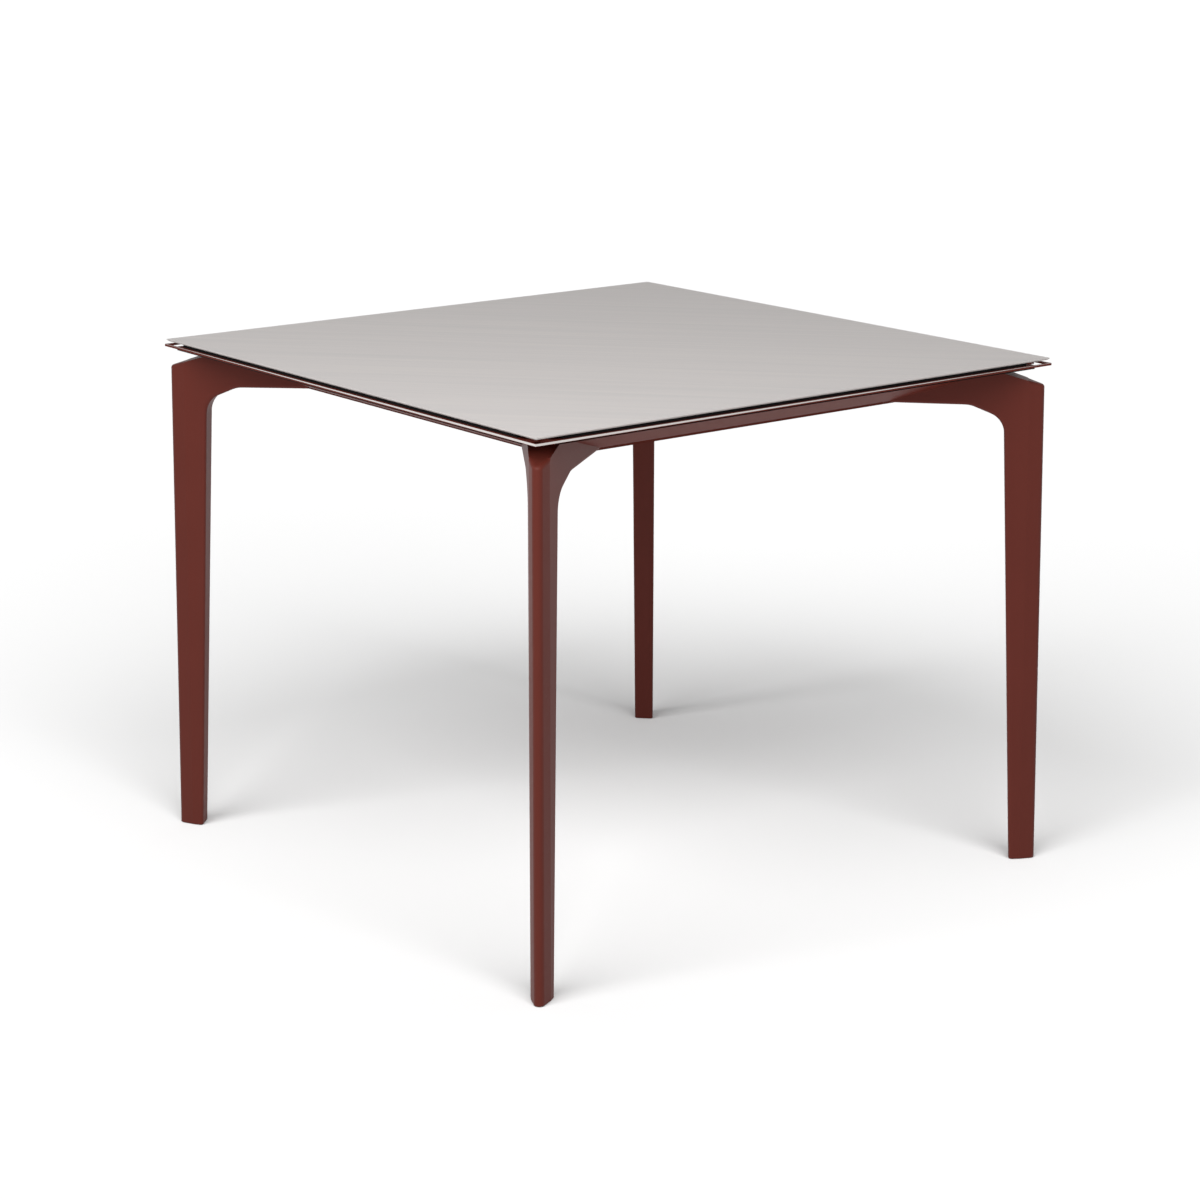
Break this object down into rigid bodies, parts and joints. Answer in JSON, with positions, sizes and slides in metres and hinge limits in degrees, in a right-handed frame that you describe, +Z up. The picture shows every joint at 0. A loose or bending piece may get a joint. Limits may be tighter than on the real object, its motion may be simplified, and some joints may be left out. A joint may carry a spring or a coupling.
{
  "type": "square dining table",
  "caption": "Square dining table with a thin light panel over a red-brown sloped frame and tapered wedge legs set on the diagonals.",
  "frame": {"origin": "on the floor under the middle of the top", "axes": "+Z up, +X to the right and +Y to the back, along the sides of the square top"},
  "size_m": [0.9096, 0.9096, 0.74],
  "materials": {
    "light_panel": "satin powder coat",
    "black_foam": "matte",
    "light_trim": "satin powder coat",
    "red_brown_paint": "satin powder coat",
    "glide_plastic": "matte",
    "cast_key": "satin",
    "zinc_steel": "satin"
  },
  "bodies": {
    "table": {"bar_cleat_back_left": "red_brown_paint", "bar_cleat_back_right": "red_brown_paint", "bar_cleat_front_left": "red_brown_paint", "bar_cleat_front_right": "red_brown_paint", "bar_pad_back": "black_foam", "bar_pad_front": "black_foam", "cleat_screws": "zinc_steel", "corner_key_back_left": "cast_key", "corner_key_back_right": "cast_key", "corner_key_front_left": "cast_key", "corner_key_front_right": "cast_key", "cross_bar_back": "red_brown_paint", "cross_bar_front": "red_brown_paint", "edge_profile_back": "red_brown_paint", "edge_profile_front": "red_brown_paint", "edge_profile_left": "red_brown_paint", "edge_profile_right": "red_brown_paint", "inner_rail_back": "red_brown_paint", "inner_rail_front": "red_brown_paint", "inner_rail_left": "red_brown_paint", "inner_rail_right": "red_brown_paint", "key_screws": "zinc_steel", "leg_back_left": "red_brown_paint", "leg_back_right": "red_brown_paint", "leg_bolts": "zinc_steel", "leg_front_left": "red_brown_paint", "leg_front_right": "red_brown_paint", "rail_screws": "zinc_steel", "rim_lip_back": "red_brown_paint", "rim_lip_front": "red_brown_paint", "rim_lip_left": "red_brown_paint", "rim_lip_right": "red_brown_paint", "rim_trim_back": "light_trim", "rim_trim_front": "light_trim", "rim_trim_left": "light_trim", "rim_trim_right": "light_trim", "spacer_back": "black_foam", "spacer_front": "black_foam", "spacer_left": "black_foam", "spacer_right": "black_foam", "table_top": "light_panel"},
    "glide_back_left": {"glide_back_left": "glide_plastic"},
    "glide_back_right": {"glide_back_right": "glide_plastic"},
    "glide_front_left": {"glide_front_left": "glide_plastic"},
    "glide_front_right": {"glide_front_right": "glide_plastic"}
  },
  "joints": [
    {"name": "glide_screw_front_left", "type": "slide", "parent": "table", "child": "glide_front_left", "axis": [0, 0, -1], "range_m": [0, 0.008]},
    {"name": "glide_screw_front_right", "type": "slide", "parent": "table", "child": "glide_front_right", "axis": [0, 0, -1], "range_m": [0, 0.008]},
    {"name": "glide_screw_back_right", "type": "slide", "parent": "table", "child": "glide_back_right", "axis": [0, 0, -1], "range_m": [0, 0.008]},
    {"name": "glide_screw_back_left", "type": "slide", "parent": "table", "child": "glide_back_left", "axis": [0, 0, -1], "range_m": [0, 0.008]}
  ]
}
